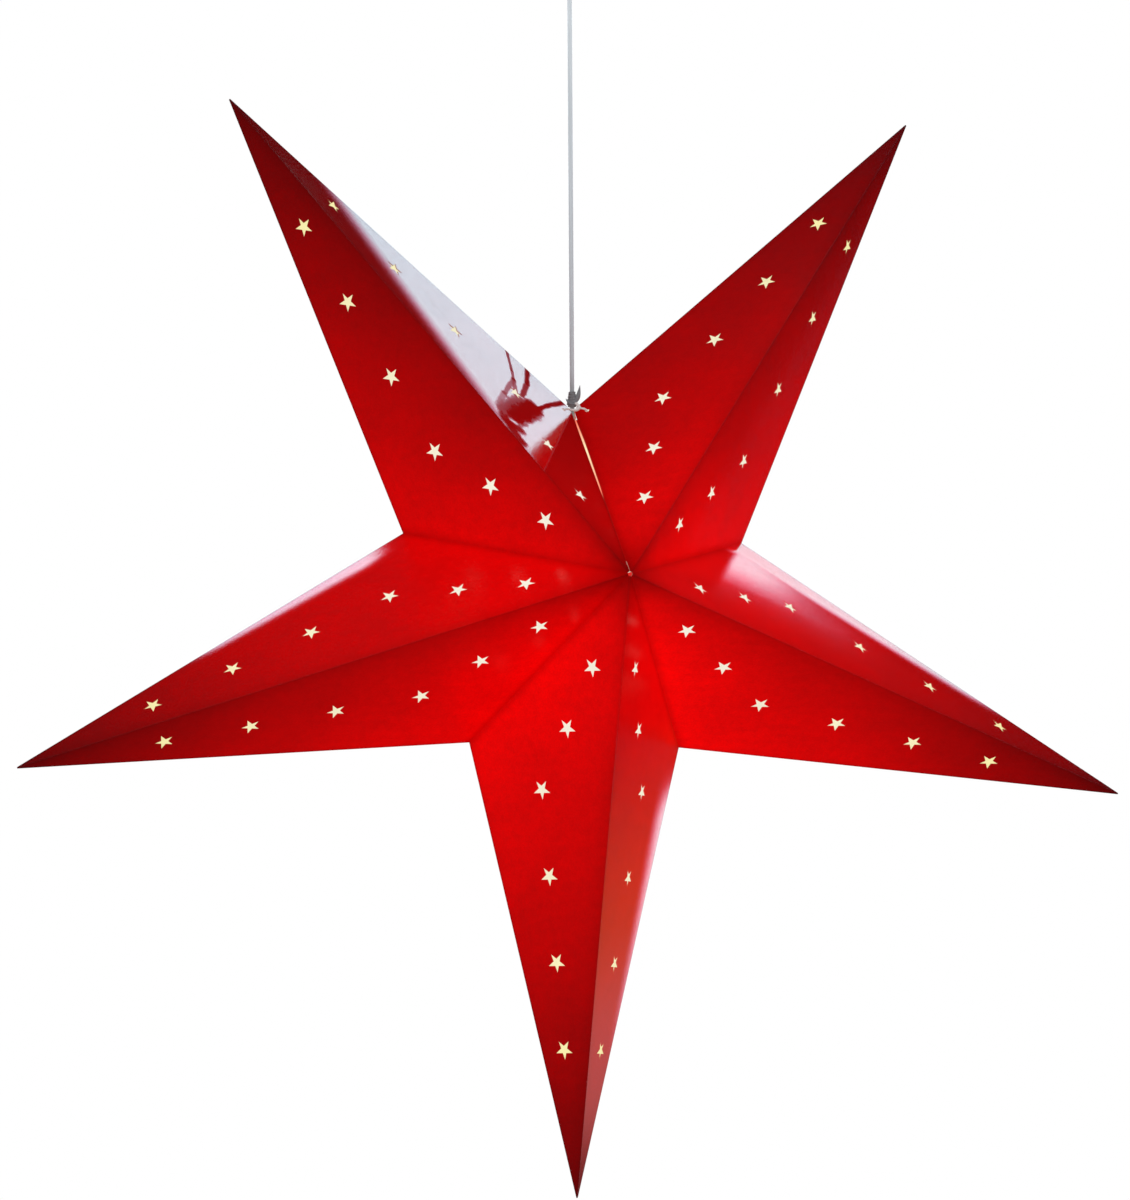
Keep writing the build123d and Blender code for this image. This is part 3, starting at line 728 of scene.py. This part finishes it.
class STAR_OT_stage(bpy.types.Operator):
    """Set up the camera, the soft light, the white backdrop and the floor"""

    bl_idname = "paper_star.stage"
    bl_label = "Studio"

    def execute(self, context):
        studio = context.scene.star_studio
        self.camera(context, studio)
        self.surroundings(context, studio)
        self.softbox(context, "Softbox", BACK_LIGHT, studio.back_radius, studio.back_level,
                     BACK_ROSY_FROM)
        self.softbox(context, "Top softbox", TOP_LIGHT, studio.top_radius, studio.top_level,
                     TOP_ROSY_FROM)
        self.floor(studio)
        context.scene.view_settings.view_transform = "Standard"
        return {"FINISHED"}

    def camera(self, context, studio):
        azimuth, elevation = math.radians(studio.azimuth), math.radians(studio.elevation)
        back = Vector((math.sin(azimuth) * math.cos(elevation),
                       -math.cos(azimuth) * math.cos(elevation), math.sin(elevation)))
        right = (-back).cross(Vector((0.0, 0.0, 1.0))).normalized()
        up = right.cross(-back)
        roll = math.radians(studio.roll)
        right, up = (right * math.cos(roll) + up * math.sin(roll),
                     up * math.cos(roll) - right * math.sin(roll))
        aim = star_centre() + right * studio.aim_right + up * studio.aim_up
        data = bpy.data.cameras.new("Camera")
        data.sensor_width = SENSOR
        data.lens = studio.focal_pixels * SENSOR / PHOTO_HEIGHT
        data.clip_start, data.clip_end = CLIP_NEAR, CLIP_FAR
        camera = bpy.data.objects.new("Camera", data)
        turned = Matrix((right, up, back)).transposed().to_4x4()
        camera.matrix_world = Matrix.Translation(aim + back * studio.distance) @ turned
        context.scene.collection.objects.link(camera)
        context.scene.camera = camera

    def surroundings(self, context, studio):
        """White to the camera, a white backdrop behind the star in gloss, and even soft light."""
        world = bpy.data.worlds.new("Studio")
        world.use_nodes = True
        world.node_tree.nodes.clear()
        net = NodeNet(world.node_tree)
        path = net.node("LightPath").outputs
        way = net.node("TexCoord").outputs["Generated"]
        facing = net.vector("DOT_PRODUCT", net.vector("NORMALIZE", way), BACK_LIGHT)
        gloss = net.mixed(net.rising(facing, *DUSK_COMES), DARK, DUSK)
        gloss = net.mixed(net.rising(facing, *BACKDROP_COMES), gloss, WHITE)
        shown = (studio.level, studio.level, studio.level, 1.0)
        for ray, colour in (("Glossy", gloss), ("Transmission", gloss), ("Camera", WHITE)):
            shown = net.mixed(path[f"Is {ray} Ray"], shown, colour)
        background = net.node("Background", {"Color": shown, "Strength": 1.0})
        net.node("OutputWorld", {"Surface": background.outputs["Background"]})
        context.scene.world = world

    def softbox(self, context, name, way, radius, level, rosy_from):
        """A round softbox with a soft rim, seen only in the gloss of the paper and fittings."""
        studio = context.scene.star_studio
        data = bpy.data.lights.new(name, "AREA")
        data.shape = "DISK"
        data.size = 2 * radius
        data.energy = level * math.pi * math.pi * radius ** 2
        data.use_nodes = True
        net = NodeNet(data.node_tree)
        spot = net.node("NewGeometry").outputs["Parametric"]
        flat = net.vector("MULTIPLY", spot, (1.0, 1.0, 0.0))
        outward = net.vector("DISTANCE", flat, (0.5, 0.5, 0.0))
        cool = net.falling(outward, rosy_from, ROSY_UNTIL)
        lamp = next(node for node in data.node_tree.nodes if node.type == "EMISSION")
        net.fill(lamp, {
            "Strength": net.falling(outward, *SOFTBOX_FADES),
            "Color": net.mixed(cool, rgba(studio.rim_tint), rgba(studio.softbox_tint))})
        softbox = bpy.data.objects.new(name, data)
        stand = Matrix.Translation(star_centre() + way * studio.softbox_distance)
        softbox.matrix_world = stand @ way.to_track_quat("Z", "Y").to_matrix().to_4x4()
        softbox.visible_camera = False
        softbox.visible_diffuse = False
        context.scene.collection.objects.link(softbox)

    def floor(self, studio):
        mesh = bmesh.new()
        bmesh.ops.create_grid(mesh, x_segments=1, y_segments=1, size=FLOOR_HALF_WIDTH,
                              matrix=Matrix.Translation((0.0, 0.0, studio.floor_height)))
        floor = placed_mesh("Floor", mesh, self.floor_material())

    def floor_material(self):
        """Matt white, clear from below and in gloss."""
        net = Finish("studio_floor")
        pale = net.mottled(net.noise(net.place, 3.0, detail=3.0), 0.90, 0.94)
        clear = net.node("BsdfTransparent")
        behind = net.node("NewGeometry").outputs["Backfacing"]
        mirrored = net.node("LightPath").outputs["Is Glossy Ray"]
        sided = net.node("MixShader", {
            0: net.maths("MAXIMUM", behind, mirrored), 1: net.shader.outputs["BSDF"],
            2: clear.outputs["BSDF"]})
        net.fill(net.output, {"Surface": sided.outputs[0]})
        return net.done({
            "Base Color": net.scaled(WHITE[:3], pale), "Roughness": 0.8,
            "Specular IOR Level": 0.0})


def string_curve(name, points, diameter, material, body):
    """A string or cord along a smooth line of points, which may add a relative thickness."""
    curve = bpy.data.curves.new(name, "CURVE")
    curve.dimensions = "3D"
    curve.bevel_depth = diameter / 2
    curve.bevel_resolution = 5
    curve.resolution_u = 12
    curve.use_fill_caps = True
    spline = curve.splines.new("NURBS")
    spline.points.add(len(points) - 1)
    for point, (x, y, z, *thickness) in zip(spline.points, points):
        point.co = (x, y, z, 1.0)
        point.radius = thickness[0] if thickness else 1.0
    spline.order_u = 3
    spline.use_endpoint_u = True
    curve.materials.append(material)
    piece = bpy.data.objects.new(name, curve)
    piece.visible_glossy = False  # the paper's coating would show it as long streaks
    bpy.context.scene.collection.objects.link(piece)
    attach(piece, body)
    return piece


# The sheath: scales of its lengthwise texture, the heights between which it leaves the knot's
# shade, and those between which the star's dimness gives way to daylight
DRAWN_SCALES, KNOT_SHADE, CORD_LIGHTENS = (900.0, 900.0, 40.0), (-0.277, -0.258), (-0.26, -0.06)
DRAWN_HEIGHT = 0.00003


def sheath_material():
    """Smooth pale cord sheath with a faint lengthwise drawn texture, painted shade under the knot
    and lower down, and a faint painted glow.
    """
    net = Finish("cord_sheath")
    drawn = net.noise(net.vector("MULTIPLY", net.place, DRAWN_SCALES), 1.0)
    height = net.axis(net.place, "Z")
    tone = net.times(
        net.mottled(drawn, 0.94, 1.05),
        net.mottled(net.noise(net.place, 18.0), 0.95, 1.05),
        net.ramped(height, *KNOT_SHADE, 0.5, 1.0),
        net.linear(height, *CORD_LIGHTENS, 0.72, 1.0))
    shade = net.scaled(picked("sheath"), tone)
    return net.done({
        "Base Color": shade,
        "Emission Color": shade,
        # A faint painted glow that lifts the whole sheath
        "Emission Strength": 0.08,
        "IOR": 1.6,
        "Roughness": net.mottled(drawn, 0.22, 0.3),
        "Normal": net.bumped(net.times(drawn, DRAWN_HEIGHT), 0.5)})


# The string: direction, pitch and height of its strands, its fuzz, and lamp light through it
STRAND_WAY, TWIST_PITCH, TWIST_HEIGHT = (0.7, 0.2, 1.0), 7200.0, 0.00005
FUZZ_SCALE, FUZZ_HEIGHT, STRING_LIGHT = 2600.0, 0.00004, (1.0, 0.72, 0.64)


def cotton_material(name, colour, lit):
    """Twisted cotton string: diagonal strands and fuzz, and a little lamp light through it."""
    net = Finish(name)
    strand = net.vector("DOT_PRODUCT", net.place, STRAND_WAY)
    twist = net.maths("SINE", net.times(strand, TWIST_PITCH))
    fuzz = net.noise(net.place, FUZZ_SCALE, detail=3.0)
    tone = net.times(net.linear(twist, -1.0, 1.0, 0.72, 1.08), net.mottled(fuzz, 0.88, 1.08))
    height = net.plus(net.times(twist, TWIST_HEIGHT), net.times(fuzz, FUZZ_HEIGHT))
    return net.done({
        "Base Color": net.scaled(colour, tone),
        "Emission Color": net.scaled(STRING_LIGHT, tone),
        "Emission Strength": lit,
        "Roughness": net.mottled(fuzz, 0.8, 0.95),
        "Specular IOR Level": 0.2,
        "Normal": net.bumped(height, 0.8)})


# How far from each end of the cord its line has a further point, in cord diameters
NEAR_END = 6


class STAR_OT_cord(bpy.types.Operator):
    """Hang the straight cord between the ceiling rose and the lampholder"""

    bl_idname = "paper_star.cord"
    bl_label = "Hanging cord"

    def execute(self, context):
        cord = context.scene.star_cord
        material = sheath_material()
        near = NEAR_END * cord.cord_diameter
        top, bottom = cord.cord_top, cord.cord_bottom
        heights = (top, top - near, (top + bottom) / 2, bottom + near, bottom)
        points = [(0.0, 0.0, height) for height in heights]
        piece = string_curve("cord_run", points, cord.cord_diameter, material, "cord")
        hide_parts("hanging_cord")
        dress(material, "cord_tail")
        dress(moulded("core_insulation", (0.42, 0.20, 0.09), 0.45, 300.0), "cord_cores")
        return {"FINISHED"}


class STAR_OT_paper(bpy.types.Operator):
    """Finish the twenty folded panels in coated red paper with the lamp's glow"""

    bl_idname = "paper_star.paper"
    bl_label = "Folded panels"

    def execute(self, context):
        for name, aim, hand, face in panel_names():
            dress(paper_material(name, aim, hand, face), f"{name}_panel")
        return {"FINISHED"}


class STAR_OT_liners(bpy.types.Operator):
    """Finish the translucent liners behind the cut-outs"""

    bl_idname = "paper_star.liners"
    bl_label = "Glowing liners"

    def execute(self, context):
        dress(liner_material(), *(f"{name}_liner" for name, *_ in panel_names()))
        return {"FINISHED"}


# The wound knot: half thickness of its string, in string diameters; radii of the lowest ring and of
# those above it, and how much these narrow upwards; tilts of even and odd rings, in degrees, and
# how far the tilt's axis turns from ring to ring
HALF_STRING, FIRST_RING, WIDE_RING, NARROWING = 0.45, 0.0017, 0.00235, 0.0010
RING_SEGMENTS, ROUND_SEGMENTS, RING_TILTS, TILT_TURN = 32, 10, (-3.0, 2.5), 0.7
# Its lashed core: how far it starts above the lowest ring, its two radii and its rounding
CORE_LIFT, CORE_RADII, CORE_SEGMENTS, CORE_BEVEL = 0.0006, (0.00210, 0.00145), 28, 0.0002
MERGE_GAP = 0.00001
# Its loose ends: points with a relative thickness, in metres
KNOT_ENDS = {
    "knot_end_long": ((0.0006, -0.0010, -0.2762, 1.8), (0.0022, -0.0014, -0.2744, 2.9),
                      (0.0032, -0.0012, -0.2712, 2.3), (0.0039, -0.0008, -0.2672, 0.2)),
    "knot_end_short": ((-0.0006, -0.0010, -0.2768, 1.8), (-0.0022, -0.0014, -0.2762, 2.0),
                       (-0.0036, -0.0012, -0.2742, 0.3)),
}
LOOSE_THICKNESS = 0.9
# Each string from its punched hole, out, down over the valley and up into the knot
STRING_ROUTES = {
    "left": ("upper_left_point_right_front", (
        (-0.0074, -0.0043, -0.2818), (-0.0052, -0.0066, -0.2796), (-0.0024, -0.0056, -0.2802),
        (0.0004, -0.0053, -0.2804, 1.6), (0.0024, -0.0046, -0.2790, 1.7),
        (0.0026, -0.0026, -0.2774, 1.2), (0.0014, -0.0012, -0.2757))),
    "right": ("upper_right_point_left_front", (
        (0.0074, -0.0043, -0.2818), (0.0052, -0.0066, -0.2796), (0.0028, -0.0047, -0.2793),
        (0.0014, -0.0026, -0.2770), (0.0006, -0.0012, -0.2757))),
}
# The strip behind the seam: its panel's aim, hand and face; its ends as shares of the seam from the
# valley; its width, how far behind the panel it lies, and its thickness
STRIP_PANEL, STRIP_ENDS = (54.0, 1, "front"), (0.055, 0.92)
STRIP_WIDTH, STRIP_BEHIND, STRIP_THICKNESS = 0.0046, 0.00062, 0.00018
# The light that leaks there, by the same shares: its half width in mm, its warmth and where it
# ends; and in mm across the seam, its middle and its soft rim
LEAK_WIDTHS = ((0.05, 0.30), (0.12, 0.42), (0.22, 0.62), (0.34, 0.52), (0.46, 0.34), (0.54, 0.10),
               (0.57, 0.0))
LEAK_WARMTH = ((0.05, 0.10), (0.14, 0.45), (0.24, 1.0), (0.36, 0.62), (0.5, 0.2))
LEAK_ENDS, LEAK_MIDDLE, LEAK_RIM = (0.48, 0.56), 0.18, (-0.16, 0.10)
LEAK_RED, LEAK_YELLOW = (1.0, 0.10, 0.06, 1.0), (1.0, 0.84, 0.50, 1.0)
STRIP_RED = (0.16, 0.0, 0.0, 1.0)


class STAR_OT_seam(bpy.types.Operator):
    """Tie the open seam: the wound knot, its loose ends and the two strings"""

    bl_idname = "paper_star.seam"
    bl_label = "Tied seam"

    def execute(self, context):
        cord = context.scene.star_cord
        # The knot takes a darker, unlit copy of the tie cotton: painted shade
        self.knot(cord, cotton_material("knotted_cotton", picked("knotted"), 0.0))
        self.strings(cord, cotton_material("tie_cotton", picked("cotton"), 0.12))
        self.underlap()
        return {"FINISHED"}

    def ring(self, mesh, cord, turn):
        """One closed turn of string, a little tilted."""
        share = turn / max(1, cord.knot_turns - 1)
        radius = FIRST_RING if turn == 0 else WIDE_RING - NARROWING * share
        height = cord.knot_bottom + (cord.knot_top - cord.knot_bottom) * share
        before = set(mesh.verts)
        section = Matrix.Translation((radius, 0.0, 0.0)) @ Matrix.Rotation(math.pi / 2, 4, "X")
        circle = bmesh.ops.create_circle(
            mesh, cap_ends=False, segments=ROUND_SEGMENTS,
            radius=HALF_STRING * cord.string_diameter, matrix=section)
        edges = list({edge for vert in circle["verts"] for edge in vert.link_edges})
        bmesh.ops.spin(mesh, geom=circle["verts"] + edges, cent=(0, 0, 0), axis=(0, 0, 1),
                       angle=math.tau, steps=RING_SEGMENTS, use_merge=True, use_duplicate=False)
        fresh = [vert for vert in mesh.verts if vert not in before]
        tilt = Matrix.Rotation(math.radians(RING_TILTS[turn % 2]), 4,
                               Vector((1.0, turn * TILT_TURN, 0.0)))
        placed = Matrix.Translation((0.0, 0.0, height)) @ tilt
        bmesh.ops.transform(mesh, matrix=placed, verts=fresh)

    def knot(self, cord, cotton):
        """Turns of string wound up the cord, narrowing to the top, with a lashed core."""
        mesh = bmesh.new()
        for turn in range(cord.knot_turns):
            self.ring(mesh, cord, turn)
        bmesh.ops.remove_doubles(mesh, verts=mesh.verts, dist=MERGE_GAP)
        bottom, top = cord.knot_bottom + CORE_LIFT, cord.knot_top
        core = bmesh.ops.create_cone(
            mesh, cap_ends=True, segments=CORE_SEGMENTS, radius1=CORE_RADII[0],
            radius2=CORE_RADII[1], depth=top - bottom,
            matrix=Matrix.Translation((0.0, 0.0, (bottom + top) / 2)))
        bevelled = list({edge for vert in core["verts"] for edge in vert.link_edges})
        bmesh.ops.bevel(mesh, geom=bevelled, offset=CORE_BEVEL, affect="EDGES", segments=2,
                        profile=0.5, material=-1)
        bmesh.ops.recalc_face_normals(mesh, faces=mesh.faces)
        for face in mesh.faces:
            face.smooth = True
        piece = placed_mesh("wound_knot", mesh, cotton)
        piece.visible_glossy = False
        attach(piece, "tie")
        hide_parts("tie_knot")
        for name, points in KNOT_ENDS.items():
            end = string_curve(name, points, cord.string_diameter * LOOSE_THICKNESS, cotton, "tie")

    def strings(self, cord, cotton):
        for name, (body, points) in STRING_ROUTES.items():
            piece = string_curve(f"{name}_seam_string", points, cord.string_diameter, cotton, body)
            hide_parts(f"{name}_tie_string")

    def underlap(self):
        """A narrow strip of the same paper behind the seam, where the lamp shines out thinly."""
        apex, tip, valley = panel_corners(*STRIP_PANEL)
        seam = apex - valley
        along = seam.normalized()
        outward = (tip - valley).cross(seam).normalized()
        outward *= -1 if outward.y > 0 else 1
        across = outward.cross(along)
        start, end = (share * seam.length for share in STRIP_ENDS)
        mesh = bmesh.new()
        bmesh.ops.create_grid(mesh, x_segments=2, y_segments=32, size=0.5)
        bmesh.ops.scale(mesh, vec=(STRIP_WIDTH, end - start, 1.0), verts=mesh.verts)
        plane = Matrix((across, along, outward)).transposed().to_4x4()
        middle = valley + along * (start + end) / 2 - outward * STRIP_BEHIND
        bmesh.ops.transform(mesh, matrix=Matrix.Translation(middle) @ plane, verts=mesh.verts)
        sheet = bmesh.ops.extrude_face_region(mesh, geom=mesh.faces[:])
        lifted = [part for part in sheet["geom"] if isinstance(part, bmesh.types.BMVert)]
        bmesh.ops.translate(mesh, vec=outward * STRIP_THICKNESS, verts=lifted)
        bmesh.ops.recalc_face_normals(mesh, faces=mesh.faces)
        piece = placed_mesh("seam_underlap", mesh, self.underlap_paper(valley, seam))
        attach(piece, "upper_right_point_left_front")

    def underlap_paper(self, valley, seam):
        """Red paper, with lamp light leaking along the open half of the seam like a thin flame."""
        net = Finish("underlap_paper")
        grain = net.placed("grain", PAPER_GRAIN)
        along = net.vector("DOT_PRODUCT", net.vector("SUBTRACT", net.place, valley),
                           seam / seam.length_squared)
        from_seam = net.maths("DIVIDE", net.axis(net.place, "X"), MM)
        side = net.maths("ABSOLUTE", net.minus(from_seam, LEAK_MIDDLE))
        beyond = net.minus(side, net.levels(along, LEAK_WIDTHS))
        leak = net.times(net.falling(beyond, *LEAK_RIM), net.falling(along, *LEAK_ENDS))
        flame = net.mixed(net.levels(along, LEAK_WARMTH), LEAK_RED, LEAK_YELLOW)
        light = net.mixed(leak, STRIP_RED, flame)
        return net.done({
            "Base Color": net.scaled(picked("paper"), grain["Tone"]),
            "Emission Color": net.scaled(light, grain["Tone"]),
            "Emission Strength": 1.0,
            "Specular IOR Level": 0.1,
            "Roughness": net.linear(grain["Tone"], *TONE_RANGE, 0.7, 0.6),
            "Normal": net.bumped(grain["Height"], 1.0)})


# How metallic the dull metals are, and the heights between which the lit globe turns dimmer
METALLIC, GLOBE_DIMS = 0.4, (-0.3895, -0.361)


class STAR_OT_rose(bpy.types.Operator):
    """Finish the ceiling rose, its grip, its nut and the terminal block"""

    bl_idname = "paper_star.rose"
    bl_label = "Ceiling rose"

    def execute(self, context):
        dress(moulded("rose_plastic", picked("plastic"), 0.34, 90.0, coat=0.15),
              "rose_base_plate", "rose_cover", "cord_grip")
        dress(moulded("nut_plastic", (0.66, 0.65, 0.62), 0.42, 220.0), "grip_nut")
        dress(moulded("terminal_plastic", (0.72, 0.70, 0.62), 0.5, 260.0), "terminal_block")
        dress(moulded("screw_steel", (0.62, 0.61, 0.60), 0.3, 600.0, metallic=METALLIC),
              "terminal_screws")
        return {"FINISHED"}


class STAR_OT_lamp(bpy.types.Operator):
    """Finish the lampholder and the lamp inside the star"""

    bl_idname = "paper_star.lamp"
    bl_label = "Lamp and holder"

    def execute(self, context):
        dress(moulded("holder_plastic", picked("plastic"), 0.38, 110.0),
              "lampholder_shell", "lampholder_cap")
        dress(moulded("socket_brass", (0.72, 0.50, 0.20), 0.28, 400.0, metallic=METALLIC),
              "socket_sleeve", "socket_contact")
        dress(moulded("lamp_cap_nickel", (0.66, 0.64, 0.60), 0.3, 500.0, metallic=METALLIC),
              "lamp_base")
        dress(moulded("lamp_collar_plastic", (0.78, 0.78, 0.76), 0.4, 120.0), "lamp_collar")
        dress(moulded("board_white", (0.82, 0.82, 0.80), 0.5, 500.0), "led_board")
        dress(self.diffuser(), "lamp_globe")
        return {"FINISHED"}

    def diffuser(self):
        """A lit, frosted globe: brightest low down, where the diodes shine."""
        net = Finish("lit_diffuser")
        frost = net.noise(net.place, 900.0)
        height = net.axis(net.place, "Z")
        bright = net.times(net.ramped(height, *GLOBE_DIMS, 1.0, 0.72),
                           net.mottled(frost, 0.96, 1.03))
        return net.done({
            "Base Color": net.scaled((0.25, 0.24, 0.22), bright),
            "Emission Color": net.scaled((1.0, 0.80, 0.52), bright),
            "Emission Strength": 0.8,
            "Roughness": net.mottled(frost, 0.5, 0.6)})


class STAR_PT_pieces(bpy.types.Panel):
    """Buttons that build the star piece by piece"""

    bl_label = "Paper star"
    bl_idname = "STAR_PT_pieces"
    bl_space_type = "VIEW_3D"
    bl_region_type = "UI"
    bl_category = "Paper star"

    def draw(self, context):
        for operator in OPERATORS:
            self.layout.operator(operator.bl_idname)
        for group_name in GROUP_CLASSES:
            settings = getattr(context.scene, group_name)
            column = self.layout.column(align=True)
            for key in settings.bl_rna.properties.keys():
                if key not in ("rna_type", "name"):
                    column.prop(settings, key)


GROUP_CLASSES = {"star_sizes": StarSizes, "star_colours": StarColours, "star_cord": CordSizes,
                 "star_studio": StudioSettings}
OPERATORS = (STAR_OT_stage, STAR_OT_cord, STAR_OT_paper, STAR_OT_liners, STAR_OT_seam,
             STAR_OT_rose, STAR_OT_lamp)


def register():
    for settings in GROUP_CLASSES.values():
        bpy.utils.register_class(settings)
    for name, settings in GROUP_CLASSES.items():
        setattr(bpy.types.Scene, name, PointerProperty(type=settings))
    for operator in (*OPERATORS, STAR_PT_pieces):
        bpy.utils.register_class(operator)


def unregister():
    for operator in reversed((*OPERATORS, STAR_PT_pieces)):
        bpy.utils.unregister_class(operator)
    for name, settings in GROUP_CLASSES.items():
        delattr(bpy.types.Scene, name)
        bpy.utils.unregister_class(settings)


def main():
    register()
    for operator in OPERATORS:
        family, action = operator.bl_idname.split(".")
        getattr(getattr(bpy.ops, family), action)()


if __name__ == "__main__":
    main()
